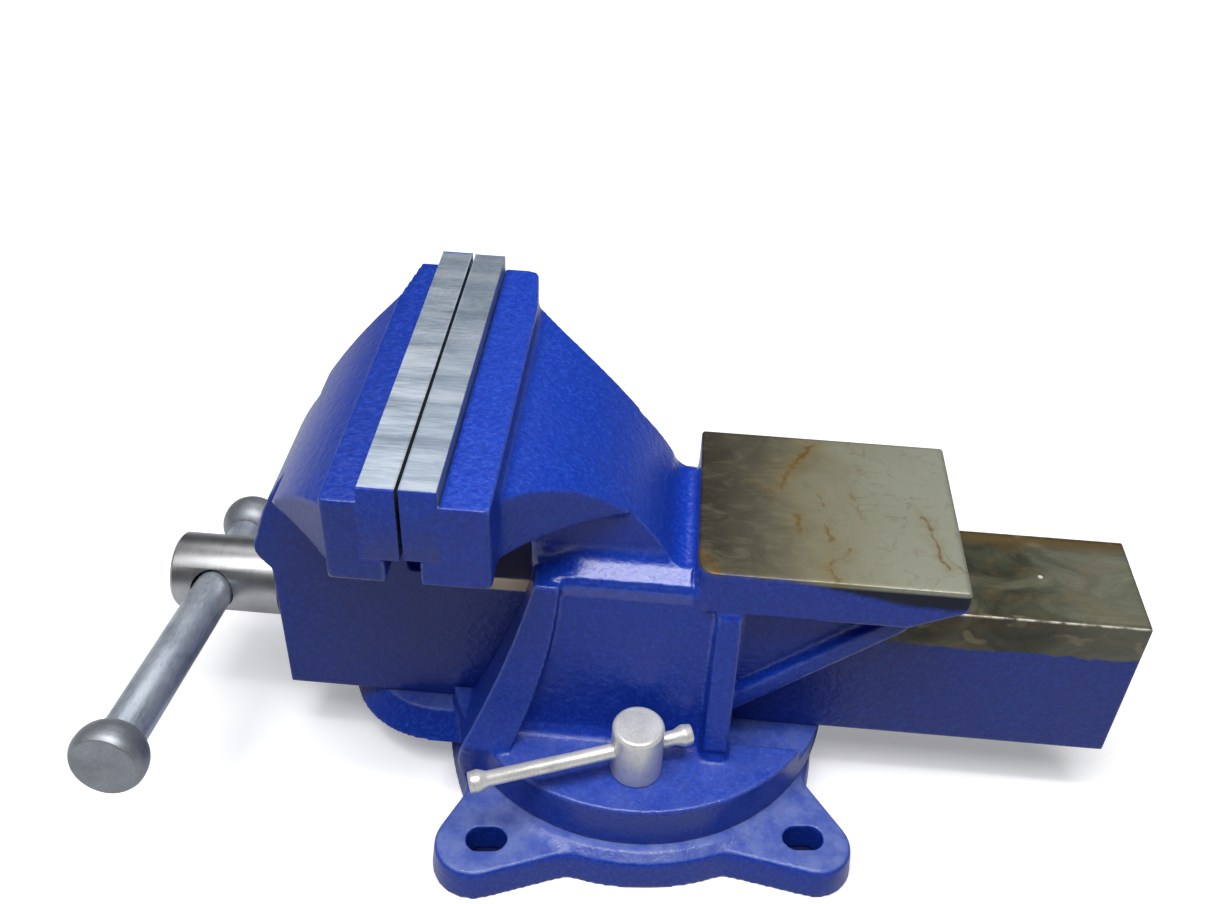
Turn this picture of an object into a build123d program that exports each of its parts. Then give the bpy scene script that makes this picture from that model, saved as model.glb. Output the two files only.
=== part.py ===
from build123d import *
import math
import os

# Swivel-base bench vise with a square sliding jaw, an anvil and two base lock bolts.
#
# The origin is where the upright swivel axis meets the bench, +Z is up, and X and Y run along
# the sides of the rectangle of bench-bolt slots. The head is drawn with its screw along X and
# the jaws towards -X, and each of its pieces is turned by HEAD_TURN about Z as it is saved.

os.makedirs("parts", exist_ok=True)

# ---- Driving dimensions, in millimetres and degrees --------------------------------------
HEAD_TURN = -6.2            # head against base, seen from above

JAW_WIDTH = 150.0           # jaws, along Y
JAW_TOP = 186.0             # top of the hardened plates
CASTING_TOP = 180.0         # top of the castings behind the plates
JAW_FOOT = 145.5            # underside of both jaw blocks
PLATE_THICK = 12.25
PLATE_HEIGHT = 30.2
MEET_X = -79.8              # middle of the gap between the plates
REST_GAP = 1.2
LIP_SETBACK = 5.9           # casting below a plate, behind the meeting plane
FIXED_SEAT_X = MEET_X + REST_GAP / 2 + PLATE_THICK
MOVING_SEAT_X = MEET_X - REST_GAP / 2 - PLATE_THICK
FIXED_BACK_X = -50.0
MOVING_BACK_X = -106.0
FIXED_PROUD = 1.0           # castings longer than the plates, at each end
MOVING_PROUD = 1.5
FAR_TAPER_Y = 48.0          # where the backs of the blocks start to come in towards the far end
FIXED_END_X = -53.0         # backs of the blocks at their far ends
MOVING_END_X = -101.8
FIXED_END_R = 3.5           # and the radii of their corners there
MOVING_END_R = 1.0
FLARE_TOP = 172.0           # where the curved flares leave the backs of the jaw blocks

SLIDE_HALF = 24.9           # square slide of the moving jaw
SLIDE_FOOT = 30.5
SLIDE_TOP = 101.9
SLIDE_TAIL_X = 194.0
FRONT_X = -146.5            # front face of the moving jaw
FRONT_WALL = 13.0
SLIDE_WALL = 7.5
SLIDE_ROOF = 10.0
SLIDE_CLEAR = 0.3

SCREW_Z = 67.6
SCREW_R = 12.0
JOURNAL_R = 12.5
SCREW_HEAD_R = 15.85
SCREW_HEAD_X = -195.9       # outer end of the screw's head
SCREW_TAIL_X = 180.0
BAR_X = -177.7              # tommy bar
BAR_R = 8.2
BAR_HOLE_R = 9.0            # its hole, in which the bar lies low
BAR_TILT = 9.0              # near end of the bar above the level
BAR_SWING = 1.0             # near end of the bar towards -X
RUNNING = 0.05              # radial clearance of pins and journals
SLIDING = 0.1               # radial clearance of the cross bars

NECK_HALF = 30.5
LEDGE_Z = 118.5             # shoulder of the body beside the neck, near side
FAR_LEDGE_Z = 112.0
FLOOR_Z = SLIDE_FOOT - SLIDE_CLEAR
ANVIL_X = (19.0, 117.75)
ANVIL_HALF = 42.8
ANVIL_TOP = 129.8
ANVIL_THICK = 20.0

DISC_R = 80.6               # swivel disc under the head
DISC_TOP = 37.3
BASE_TOP = 16.5             # seat of the disc
DISC_FOOT = BASE_TOP + RUNNING
BASE_R = 89.5               # base ring, front and back
SIDE_R = 139.9              # flatter arcs of its left and right sides
SIDE_CENTRES = (57.4, -62.1)  # their centres on the X axis, left side first
SIDE_REACH = 56.0           # how far the side arcs run to the front and back
BASE_DRAFT = 6.0
LAND_R = 84.0               # raised round seat
LAND_SETBACK = 2.1          # and how far it stays inside the side arcs
LUG_TOP = 14.5
# A lug: which side it is on, where its side leaves the ring, where its two straight sides would
# meet, and its end radius.
LUGS = (
    (-1, (65.2, 37.3), (103.5, 104.6), 17.3),
    (1, (63.3, 37.3), (98.6, 103.2), 15.5),
)
SLOT_SPACING = (126.0, 152.0)
SLOT_LENGTH = 16.0
SLOT_R = 5.4
GROOVE_NECK = 8.0           # half width of the T groove's open neck
GROOVE_WIDE = 14.0          # half width of its undercut
GROOVE_ROOF = 10.0
GROOVE_FLOOR = 4.0

LOCK_X = 2.2
LOCK_Y = 59.2
LOCK_HEAD_R = 10.2
LOCK_HEAD_TOP = 62.7
LOCK_SHANK_R = 6.0
LOCK_BAR_Z = 50.6
LOCK_BAR_R = 3.0
LOCK_BAR_TURN = 21.3        # lock bar against the screw's direction, seen from above
LOCK_BAR_ENDS = (-66.6, 22.2)
GROOVE_R = math.hypot(LOCK_X, LOCK_Y)
PIVOT_R = 9.0
PIVOT_TOP = 26.5

PLATE_SCREW_Y = 45.0
PLATE_SCREW_Z = 171.0
PLATE_SCREW_R = 4.0
PLATE_SCREW_HEAD_R = 6.5
PLATE_SCREW_SEAT = 8.5      # depth of the counterbore in a plate
PLATE_SCREW_GRIP = 10.0     # length of thread in the casting

NUT_X = (-54.0, -12.0)
NUT_HALF = 16.4
NUT_TOP = 84.0
NUT_BOLT_X = (-44.0, -22.0)
NUT_BOLT_R = 5.0
NUT_BOLT_SEAT = 23.2        # shoulder under the heads of the nut's bolts
NUT_BOLT_END = 50.0
COLLAR_X = (-120.0, -110.0)
COLLAR_R = 16.5
COLLAR_PIN_R = 2.5
WASHER_THICK = 3.0
KNOB_R = 13.7
KNOB_LENGTH = 14.6
KNOB_SPIGOT_R = 5.0
KNOB_SPIGOT = 10.0
BAR_ENDS = (-27.8, 103.6)   # inner faces of the knobs, measured along the bar from the screw


def save(builder, name, turn=0.0):
    """Turn a finished piece into its place, name it and write its STEP file."""
    builder.part = builder.part.rotate(Axis.Z, turn)
    builder.part.label = name
    export_step(builder.part, f"parts/{name}.step")


# ---- Swivel base -------------------------------------------------------------------------
def far_out(vertex, low, high):
    """Whether a corner of the outline lies between two distances from the swivel axis."""
    return low < math.hypot(vertex.X, vertex.Y) < high


with BuildSketch() as middle_outline:
    Rectangle(200, 2 * SIDE_REACH)
    for centre in SIDE_CENTRES:
        with Locations((centre, 0)):
            Circle(SIDE_R, mode=Mode.INTERSECT)

with BuildSketch() as land_outline:
    Circle(LAND_R + 3)
    for centre in SIDE_CENTRES:
        with Locations((centre, 0)):
            Circle(SIDE_R - LAND_SETBACK, mode=Mode.INTERSECT)

with BuildPart() as swivel_base:
    with BuildSketch():
        Circle(BASE_R)
        Rectangle(62.4, 2 * BASE_R, mode=Mode.INTERSECT)
        add(middle_outline.sketch)
        for across, root, point, end_radius in LUGS:
            for along in (1, -1):
                Polygon(
                    (0, 0), (across * root[0], along * root[1]), (across * point[0], along * point[1]),
                    (across * 20, along * 80.9), align=None,
                )
            fillet(vertices().filter_by(lambda v: far_out(v, 120, 170) and across * v.X > 0), end_radius)
        fillet(vertices().filter_by(lambda v: far_out(v, BASE_R - 1, BASE_R + 1) and abs(v.X) < 60), 14)
        fillet(vertices().filter_by(lambda v: far_out(v, 80, 95) and abs(v.X) > 60), 5)
    extrude(amount=LUG_TOP, taper=BASE_DRAFT)
    fillet(faces().sort_by(Axis.Z)[-1].outer_wire().edges(), 2.2)
    with BuildSketch(Plane.XY.offset(LUG_TOP - 2.5)):
        add(land_outline.sketch)
    extrude(amount=BASE_TOP - LUG_TOP + 2.5, taper=34)
    with BuildSketch(Plane.XZ):
        with Locations((GROOVE_R, (GROOVE_FLOOR + GROOVE_ROOF) / 2)):
            Rectangle(2 * GROOVE_WIDE, GROOVE_ROOF - GROOVE_FLOOR)
        with Locations((GROOVE_R, BASE_TOP)):
            Rectangle(2 * GROOVE_NECK, 2 * (BASE_TOP - GROOVE_ROOF))
        with Locations((30, 4)):
            Rectangle(24, 8)
    revolve(axis=Axis.Z, mode=Mode.SUBTRACT)
    with BuildSketch(Plane.XY.offset(BASE_TOP)):
        with Locations((-GROOVE_R, 0)):
            Rectangle(2 * GROOVE_WIDE, 36)
    extrude(amount=GROOVE_ROOF - BASE_TOP, mode=Mode.SUBTRACT)
    with BuildSketch():
        with GridLocations(*SLOT_SPACING, 2, 2):
            SlotOverall(SLOT_LENGTH, 2 * SLOT_R)
    extrude(amount=BASE_TOP, mode=Mode.SUBTRACT)
    with Locations((0, 0, BASE_TOP)):
        Hole(PIVOT_R, depth=BASE_TOP)

with BuildPart() as pivot_pin:
    with BuildSketch(Plane.XY.offset(1)):
        Circle(PIVOT_R)
    extrude(amount=25.5)
    chamfer(edges().filter_by(GeomType.CIRCLE), 1)

save(swivel_base, "swivel_base")
save(pivot_pin, "pivot_pin")


# ---- Fixed jaw body ----------------------------------------------------------------------
def fixed_side():
    """Side outline of the neck: throat in front, flare above, shoulder of the anvil behind."""
    with BuildSketch(Plane.XZ) as side:
        with BuildLine():
            Polyline((ANVIL_X[0], LEDGE_Z), (ANVIL_X[0], SLIDE_TOP), (-43, SLIDE_TOP), (-43, 122))
            ThreePointArc((-43, 122), (-47.5, 137), (-62, JAW_FOOT))
            Polyline((-62, JAW_FOOT), (-62, FLARE_TOP), (FIXED_BACK_X, FLARE_TOP))
            ThreePointArc((FIXED_BACK_X, FLARE_TOP), (-22, 159), (8, 127))
            ThreePointArc((8, 127), (12, 121), (ANVIL_X[0], LEDGE_Z))
        make_face()
    return side.sketch


def trim_block(back_x, end_x, half, end_radius):
    """Trim a jaw block to its plan: its back comes in from back_x to end_x towards the far end."""
    with BuildSketch(Plane.XY.offset(JAW_FOOT)) as plan:
        Polygon(
            (MEET_X, -half), (back_x, -half), (back_x, FAR_TAPER_Y), (end_x, half), (MEET_X, half), align=None
        )
        fillet(vertices().filter_by(lambda v: v.Y < 0 and abs(v.X - MEET_X) > 1), 2)
        fillet(vertices().filter_by(lambda v: v.Y > FAR_TAPER_Y + 1 and abs(v.X - MEET_X) > 1), end_radius)
    extrude(plan.sketch, amount=CASTING_TOP - JAW_FOOT, mode=Mode.INTERSECT)


with BuildPart() as fixed_flare:
    extrude(fixed_side(), amount=JAW_WIDTH / 2, both=True)
    with BuildSketch(Plane.XY.offset(JAW_FOOT)):
        for side in (1, -1):
            with BuildLine():
                Polyline((-55, 0), (-55, side * 61), (FIXED_BACK_X, side * 61))
                ThreePointArc((FIXED_BACK_X, side * 61), (-30, side * 43.3), (-2, side * NECK_HALF))
                Polyline((-2, side * NECK_HALF), (12, side * NECK_HALF), (12, 0), (-55, 0))
            make_face()
    extrude(amount=FLARE_TOP - JAW_FOOT, mode=Mode.INTERSECT)

with BuildPart() as front_frame:
    with BuildSketch(Plane.XZ):
        with BuildLine():
            Line((-30.8, LEDGE_Z - 1), (-40.4, LEDGE_Z - 1))
            ThreePointArc((-40.4, LEDGE_Z - 1), (-49.5, 84), (-66.5, 41))
            ThreePointArc((-66.5, 41), (-69.9, 30), (-69.5, DISC_FOOT))
            Polyline((-69.5, DISC_FOOT), (-52, DISC_FOOT), (-51, 32))
            ThreePointArc((-51, 32), (-36.4, 75), (-30.8, LEDGE_Z - 1))
        make_face()
    extrude(amount=60, both=True)
    with BuildSketch(Plane.YZ.offset(-80)):
        for side in (1, -1):
            with BuildLine():
                Polyline((0, DISC_FOOT), (0, LEDGE_Z), (side * 44.3, LEDGE_Z))
                ThreePointArc((side * 44.3, LEDGE_Z), (side * 48, 74), (side * 58, 38))
                Polyline((side * 58, 38), (side * 54, DISC_FOOT), (0, DISC_FOOT))
            make_face()
    extrude(amount=60, mode=Mode.INTERSECT)


with BuildPart() as main_box:
    with BuildSketch(Plane.YZ.offset(-66)):
        for side, top in ((1, FAR_LEDGE_Z), (-1, LEDGE_Z)):
            with BuildLine():
                Polyline((0, DISC_FOOT), (0, top), (side * 41, top), (side * 44.6, 45.5))
                ThreePointArc((side * 44.6, 45.5), (side * 45.8, 40), (side * 48.6, DISC_TOP))
                Polyline((side * 48.6, DISC_TOP), (side * 48.6, DISC_FOOT), (0, DISC_FOOT))
            make_face()
    extrude(amount=96)
    long_edges = edges().filter_by(Axis.X).filter_by(lambda e: e.center().Z > 100 and abs(e.center().Y) > 40)
    fillet(long_edges, 3)
    with BuildSketch(Plane.XZ):
        with BuildLine():
            Polyline((30, LEDGE_Z), (-34, LEDGE_Z))
            ThreePointArc((-34, LEDGE_Z), (-42, 78), (-60, 36))
            Polyline((-60, 36), (-60, DISC_FOOT), (30, DISC_FOOT), (30, LEDGE_Z))
        make_face()
    extrude(amount=60, both=True, mode=Mode.INTERSECT)

with BuildPart() as upright_rib:
    with BuildSketch(Plane.YZ.offset(28)):
        for side in (1, -1):
            with BuildLine():
                Polyline((0, DISC_FOOT), (0, 111), (side * 42.5, 111))
                ThreePointArc((side * 42.5, 111), (side * 46.9, 74.6), (side * 53.5, DISC_TOP))
                Polyline((side * 53.5, DISC_TOP), (side * 53.5, DISC_FOOT), (0, DISC_FOOT))
            make_face()
    extrude(amount=10)
    fillet(edges().filter_by(GeomType.CIRCLE), 1.5)

with BuildPart() as gusset:
    with BuildSketch(Plane.XZ):
        Polygon((30, 112), (30, 46), (38, 48), (99, 101.5), (104, 112), align=None)
    extrude(amount=31.5, both=True)
    with BuildSketch(Plane.XZ):
        Polygon((36, 57), (36, 47), (39, 49), (99, 101.5), (104, 112), (96, 109), align=None)
    extrude(amount=36.5, both=True)

with BuildPart() as anvil:
    with BuildSketch(Plane.XZ):
        low = ANVIL_TOP - ANVIL_THICK
        Polygon(
            (ANVIL_X[0], low), (ANVIL_X[0], ANVIL_TOP), (ANVIL_X[1], ANVIL_TOP),
            (ANVIL_X[1], ANVIL_TOP - 10), (98, low), align=None,
        )
    extrude(amount=ANVIL_HALF, both=True)
    fillet(edges().filter_by(Axis.Z).sort_by(Axis.X)[0:2].sort_by(Axis.Y)[0], 7)
    fillet(faces().sort_by(Axis.Z)[-1].edges(), 1)

with BuildPart() as tongue:
    with BuildSketch(Plane.XY.offset(19)):
        with Locations((-83.5, 0)):
            Circle(41)
        with Locations((-66, 0)):
            Rectangle(40, 82)
    extrude(amount=FLOOR_Z - 19, taper=38)

with BuildPart() as fixed_jaw_body:
    with BuildSketch(Plane.XZ):
        Polygon(
            (MEET_X + LIP_SETBACK, JAW_FOOT),
            (MEET_X + LIP_SETBACK, JAW_TOP - PLATE_HEIGHT),
            (FIXED_SEAT_X, JAW_TOP - PLATE_HEIGHT),
            (FIXED_SEAT_X, CASTING_TOP),
            (FIXED_BACK_X, CASTING_TOP),
            (FIXED_BACK_X, JAW_FOOT),
            align=None,
        )
    extrude(amount=JAW_WIDTH, both=True)
    trim_block(FIXED_BACK_X, FIXED_END_X, JAW_WIDTH / 2 + FIXED_PROUD, FIXED_END_R)
    extrude(fixed_side(), amount=NECK_HALF, both=True)
    add(fixed_flare.part)
    add(main_box.part)
    add(upright_rib.part)
    add(front_frame.part)
    add(gusset.part)
    add(anvil.part)
    with BuildSketch(Plane.XY.offset(DISC_FOOT)):
        Circle(DISC_R)
    extrude(amount=DISC_TOP - DISC_FOOT)
    with BuildSketch(Plane.XY.offset(FLOOR_Z)):
        with Locations((70, 0)):
            Rectangle(64, 2 * 43)
    extrude(amount=DISC_TOP - FLOOR_Z, mode=Mode.SUBTRACT)
    add(tongue.part)
    with BuildSketch(Plane.YZ.offset(-130)):
        with Locations((0, (FLOOR_Z + SLIDE_TOP + SLIDE_CLEAR) / 2)):
            Rectangle(2 * (SLIDE_HALF + SLIDE_CLEAR), SLIDE_TOP + SLIDE_CLEAR - FLOOR_Z)
    extrude(amount=260, mode=Mode.SUBTRACT)
    with BuildSketch(Plane.XY.offset(DISC_FOOT)):
        Circle(PIVOT_R + RUNNING)
    extrude(amount=PIVOT_TOP + 0.5 - DISC_FOOT, mode=Mode.SUBTRACT)
    with BuildSketch(Plane.XY.offset(DISC_FOOT)):
        for place in NUT_BOLT_X:
            with Locations((place, 0)):
                Circle(NUT_BOLT_R + 3.5)
    extrude(amount=NUT_BOLT_SEAT - DISC_FOOT, mode=Mode.SUBTRACT)
    with BuildSketch(Plane.XY.offset(DISC_FOOT)):
        for place in NUT_BOLT_X:
            with Locations((place, 0)):
                Circle(NUT_BOLT_R + 0.3)
        with Locations((LOCK_X, LOCK_Y), (LOCK_X, -LOCK_Y)):
            Circle(LOCK_SHANK_R + 0.3)
    extrude(amount=DISC_TOP - DISC_FOOT, mode=Mode.SUBTRACT)
    with BuildSketch(Plane.YZ.offset(FIXED_SEAT_X)):
        with Locations((PLATE_SCREW_Y, PLATE_SCREW_Z), (-PLATE_SCREW_Y, PLATE_SCREW_Z)):
            Circle(PLATE_SCREW_R)
    extrude(amount=PLATE_SCREW_GRIP + 1, mode=Mode.SUBTRACT)

save(fixed_jaw_body, "fixed_jaw_body", HEAD_TURN)


# ---- Moving jaw --------------------------------------------------------------------------
def moving_side():
    """Side outline of the moving jaw's front: flare, nose and flat front face."""
    with BuildSketch(Plane.XZ) as side:
        with BuildLine():
            Polyline((-92, SLIDE_TOP), (-92, 150), (-96, 150), (-96, FLARE_TOP), (MOVING_BACK_X, FLARE_TOP))
            ThreePointArc((MOVING_BACK_X, FLARE_TOP), (-130, 152.5), (-150.5, 113))
            ThreePointArc((-150.5, 113), (-152.4, 107), (-151, 102))
            Polyline((-151, 102), (FRONT_X, 96), (FRONT_X, SLIDE_FOOT), (-100, SLIDE_FOOT))
            Polyline((-100, SLIDE_FOOT), (-100, SLIDE_TOP), (-92, SLIDE_TOP))
        make_face()
    return side.sketch


with BuildPart() as moving_flare:
    extrude(moving_side(), amount=JAW_WIDTH / 2, both=True)
    with BuildSketch(Plane.XY.offset(JAW_FOOT)):
        for side in (1, -1):
            with BuildLine():
                Polyline((-98, 0), (-98, side * 71), (MOVING_BACK_X, side * 71))
                ThreePointArc((MOVING_BACK_X, side * 71), (-120, side * 55.5), (-138, side * 39))
                Polyline((-138, side * 39), (-141, 0), (-98, 0))
            make_face()
    extrude(amount=FLARE_TOP - JAW_FOOT, mode=Mode.INTERSECT)

with BuildPart() as moving_jaw:
    with BuildSketch(Plane.XZ):
        Polygon(
            (MEET_X - LIP_SETBACK, JAW_FOOT),
            (MEET_X - LIP_SETBACK, JAW_TOP - PLATE_HEIGHT),
            (MOVING_SEAT_X, JAW_TOP - PLATE_HEIGHT),
            (MOVING_SEAT_X, CASTING_TOP),
            (MOVING_BACK_X, CASTING_TOP),
            (MOVING_BACK_X, JAW_FOOT),
            align=None,
        )
    extrude(amount=JAW_WIDTH, both=True)
    trim_block(MOVING_BACK_X, MOVING_END_X, JAW_WIDTH / 2 + MOVING_PROUD, MOVING_END_R)
    extrude(moving_side(), amount=SLIDE_HALF, both=True)
    add(moving_flare.part)
    with BuildSketch(Plane.XZ):
        Polygon(
            (FRONT_X, SLIDE_FOOT), (FRONT_X, SLIDE_TOP), (SLIDE_TAIL_X, SLIDE_TOP),
            (SLIDE_TAIL_X, SLIDE_FOOT), align=None,
        )
    extrude(amount=SLIDE_HALF, both=True)
    with BuildSketch(Plane.XZ):
        Polygon(
            (FRONT_X + FRONT_WALL, 0), (FRONT_X + FRONT_WALL, SLIDE_TOP - SLIDE_ROOF),
            (SLIDE_TAIL_X + 10, SLIDE_TOP - SLIDE_ROOF), (SLIDE_TAIL_X + 10, 0), align=None,
        )
    extrude(amount=SLIDE_HALF - SLIDE_WALL, both=True, mode=Mode.SUBTRACT)
    with BuildSketch(Plane.YZ.offset(FRONT_X - 5)):
        with Locations((0, SCREW_Z)):
            Circle(JOURNAL_R + RUNNING)
    extrude(amount=FRONT_WALL + 10, mode=Mode.SUBTRACT)
    with BuildSketch(Plane.YZ.offset(MOVING_SEAT_X)):
        with Locations((PLATE_SCREW_Y, PLATE_SCREW_Z), (-PLATE_SCREW_Y, PLATE_SCREW_Z)):
            Circle(PLATE_SCREW_R)
    extrude(amount=-PLATE_SCREW_GRIP - 1, mode=Mode.SUBTRACT)

save(moving_jaw, "moving_jaw", HEAD_TURN)


# ---- Jaw plates and their screws ---------------------------------------------------------
# A plate lies against its casting at seat_x; outward is +1 where the casting is on its +X side.
for name, seat_x, outward in (("fixed", FIXED_SEAT_X, 1), ("moving", MOVING_SEAT_X, -1)):
    face_x = seat_x - outward * PLATE_THICK
    with BuildPart() as jaw_plate:
        with BuildSketch(Plane.YZ.offset(face_x)):
            with Locations((0, JAW_TOP - PLATE_HEIGHT / 2)):
                Rectangle(JAW_WIDTH, PLATE_HEIGHT)
        extrude(amount=outward * PLATE_THICK)
        with BuildSketch(Plane.YZ.offset(face_x)):
            with Locations((PLATE_SCREW_Y, PLATE_SCREW_Z), (-PLATE_SCREW_Y, PLATE_SCREW_Z)):
                Circle(PLATE_SCREW_HEAD_R + 0.5)
        extrude(amount=outward * PLATE_SCREW_SEAT, mode=Mode.SUBTRACT)
        with BuildSketch(Plane.YZ.offset(face_x)):
            with Locations((PLATE_SCREW_Y, PLATE_SCREW_Z), (-PLATE_SCREW_Y, PLATE_SCREW_Z)):
                Circle(PLATE_SCREW_R + 0.4)
        extrude(amount=outward * PLATE_THICK, mode=Mode.SUBTRACT)
    save(jaw_plate, f"{name}_jaw_plate", HEAD_TURN)

    with BuildPart() as plate_screws:
        for y in (PLATE_SCREW_Y, -PLATE_SCREW_Y):
            with BuildSketch(Plane.YZ.offset(face_x + outward * 0.5)):
                with Locations((y, PLATE_SCREW_Z)):
                    Circle(PLATE_SCREW_HEAD_R)
            extrude(amount=outward * (PLATE_SCREW_SEAT - 0.5))
            with BuildSketch(Plane.YZ.offset(face_x + outward * PLATE_SCREW_SEAT)):
                with Locations((y, PLATE_SCREW_Z)):
                    Circle(PLATE_SCREW_R)
            extrude(amount=outward * (PLATE_THICK - PLATE_SCREW_SEAT + PLATE_SCREW_GRIP))
            with BuildSketch(Plane.YZ.offset(face_x + outward * 0.5)):
                with Locations((y, PLATE_SCREW_Z)):
                    RegularPolygon(radius=3, side_count=6, major_radius=False)
            extrude(amount=outward * 4.5, mode=Mode.SUBTRACT)
    save(plate_screws, f"{name}_plate_screws", HEAD_TURN)


# ---- Lead screw and what it carries ------------------------------------------------------
def bar_plane(reach):
    """Cross-section plane of the tommy bar, at a distance from the screw's axis."""
    tilt, swing = math.radians(BAR_TILT), math.radians(BAR_SWING)
    along = Vector(-math.sin(swing) * math.cos(tilt), -math.cos(swing) * math.cos(tilt), math.sin(tilt))
    across = Vector(math.cos(swing), -math.sin(swing), 0)
    return Plane(origin=Vector(BAR_X, 0, SCREW_Z) + along * reach, x_dir=across, z_dir=along)


HEAD_FOOT_X = FRONT_X - WASHER_THICK
COLLAR_MIDDLE = (COLLAR_X[0] + COLLAR_X[1]) / 2

with BuildPart() as lead_screw:
    with BuildSketch(Plane.YZ.offset(SCREW_HEAD_X)):
        with Locations((0, SCREW_Z)):
            Circle(SCREW_HEAD_R)
    extrude(amount=HEAD_FOOT_X - SCREW_HEAD_X)
    chamfer(edges().filter_by(GeomType.CIRCLE), 1.2)
    with BuildSketch(Plane.YZ.offset(HEAD_FOOT_X)):
        with Locations((0, SCREW_Z)):
            Circle(JOURNAL_R)
    extrude(amount=COLLAR_X[1] + 5 - HEAD_FOOT_X)
    with BuildSketch(Plane.YZ.offset(COLLAR_X[1] + 5)):
        with Locations((0, SCREW_Z)):
            Circle(SCREW_R)
    extrude(amount=SCREW_TAIL_X - COLLAR_X[1] - 5)
    chamfer(faces().sort_by(Axis.X)[-1].edges(), 2)
    with BuildSketch(bar_plane(0)):
        with Locations((0, BAR_HOLE_R - BAR_R - SLIDING)):
            Circle(BAR_HOLE_R)
    extrude(amount=30, both=True, mode=Mode.SUBTRACT)
    with BuildSketch(Plane.XY.offset(SCREW_Z)):
        with Locations((COLLAR_MIDDLE, 0)):
            Circle(COLLAR_PIN_R)
    extrude(amount=30, both=True, mode=Mode.SUBTRACT)

with BuildPart() as thrust_washer:
    with BuildSketch(Plane.YZ.offset(HEAD_FOOT_X)):
        with Locations((0, SCREW_Z)):
            Circle(SCREW_HEAD_R - 0.8)
            Circle(JOURNAL_R + RUNNING, mode=Mode.SUBTRACT)
    extrude(amount=WASHER_THICK)

with BuildPart() as retaining_collar:
    with BuildSketch(Plane.YZ.offset(COLLAR_X[0])):
        with Locations((0, SCREW_Z)):
            Circle(COLLAR_R)
            Circle(JOURNAL_R, mode=Mode.SUBTRACT)
    extrude(amount=COLLAR_X[1] - COLLAR_X[0])
    with BuildSketch(Plane.XY.offset(SCREW_Z)):
        with Locations((COLLAR_MIDDLE, 0)):
            Circle(COLLAR_PIN_R)
    extrude(amount=COLLAR_R + 1, both=True, mode=Mode.SUBTRACT)

with BuildPart() as collar_pin:
    with BuildSketch(Plane.XY.offset(SCREW_Z)):
        with Locations((COLLAR_MIDDLE, 0)):
            Circle(COLLAR_PIN_R)
    extrude(amount=COLLAR_R - 0.5, both=True)

SPRING_WIRE_R = 1.4
SPRING_GAP = 0.3
SPRING_TURNS = 3
spring_start = FRONT_X + FRONT_WALL + SPRING_WIRE_R + SPRING_GAP
spring_length = COLLAR_X[0] - SPRING_WIRE_R - SPRING_GAP - spring_start

with BuildPart() as screw_spring:
    with BuildLine() as coil:
        Helix(spring_length / SPRING_TURNS, spring_length, 15.2, (spring_start, 0, SCREW_Z), (1, 0, 0))
    with BuildSketch(Plane(origin=coil.line @ 0, z_dir=coil.line % 0)):
        Circle(SPRING_WIRE_R)
    sweep()

save(lead_screw, "lead_screw", HEAD_TURN)
save(thrust_washer, "thrust_washer", HEAD_TURN)
save(retaining_collar, "retaining_collar", HEAD_TURN)
save(collar_pin, "collar_pin", HEAD_TURN)
save(screw_spring, "screw_spring", HEAD_TURN)

with BuildPart() as tommy_bar:
    with BuildSketch(bar_plane(BAR_ENDS[0])):
        Circle(BAR_R)
    extrude(amount=BAR_ENDS[1] - BAR_ENDS[0])
    with BuildSketch(bar_plane(BAR_ENDS[0] - KNOB_SPIGOT)):
        Circle(KNOB_SPIGOT_R)
    extrude(amount=BAR_ENDS[1] - BAR_ENDS[0] + 2 * KNOB_SPIGOT)

save(tommy_bar, "tommy_bar", HEAD_TURN)


def knob_outline():
    """Half section of a knob: x is the radius, z runs outward along the bar from its inner face."""
    with BuildSketch(Plane.XZ) as outline:
        with BuildLine():
            Polyline((0, KNOB_SPIGOT), (KNOB_SPIGOT_R, KNOB_SPIGOT), (KNOB_SPIGOT_R, 0), (BAR_R + 0.4, 0))
            ThreePointArc((BAR_R + 0.4, 0), (12.3, 3.8), (KNOB_R, 9.4))
            ThreePointArc((KNOB_R, 9.4), (13.4, 12.2), (12.3, KNOB_LENGTH - 0.4))
            ThreePointArc((12.3, KNOB_LENGTH - 0.4), (12.0, KNOB_LENGTH - 0.1), (11.5, KNOB_LENGTH))
            Polyline((11.5, KNOB_LENGTH), (0, KNOB_LENGTH), (0, KNOB_SPIGOT))
        make_face()
    return outline.sketch


for name, reach, outward in (("far", BAR_ENDS[0], -1), ("near", BAR_ENDS[1], 1)):
    with BuildPart() as knob:
        revolve(knob_outline(), axis=Axis.Z)
    seat = bar_plane(reach)
    if outward < 0:
        seat = Plane(origin=seat.origin, x_dir=seat.x_dir, z_dir=-seat.z_dir)
    knob.part = knob.part.locate(seat.location)
    save(knob, f"tommy_knob_{name}", HEAD_TURN)


# ---- Lead nut ----------------------------------------------------------------------------
with BuildPart() as lead_nut:
    with BuildSketch(Plane.YZ.offset(NUT_X[0])):
        with Locations((0, (FLOOR_Z + NUT_TOP) / 2)):
            Rectangle(2 * NUT_HALF, NUT_TOP - FLOOR_Z)
        chamfer(vertices().group_by(Axis.Z)[-1], 5)
        with Locations((0, SCREW_Z)):
            Circle(SCREW_R + 0.3, mode=Mode.SUBTRACT)
    extrude(amount=NUT_X[1] - NUT_X[0])
    with BuildSketch(Plane.XY.offset(FLOOR_Z)):
        for place in NUT_BOLT_X:
            with Locations((place, 0)):
                Circle(NUT_BOLT_R)
    extrude(amount=NUT_BOLT_END + 1 - FLOOR_Z, mode=Mode.SUBTRACT)

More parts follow.
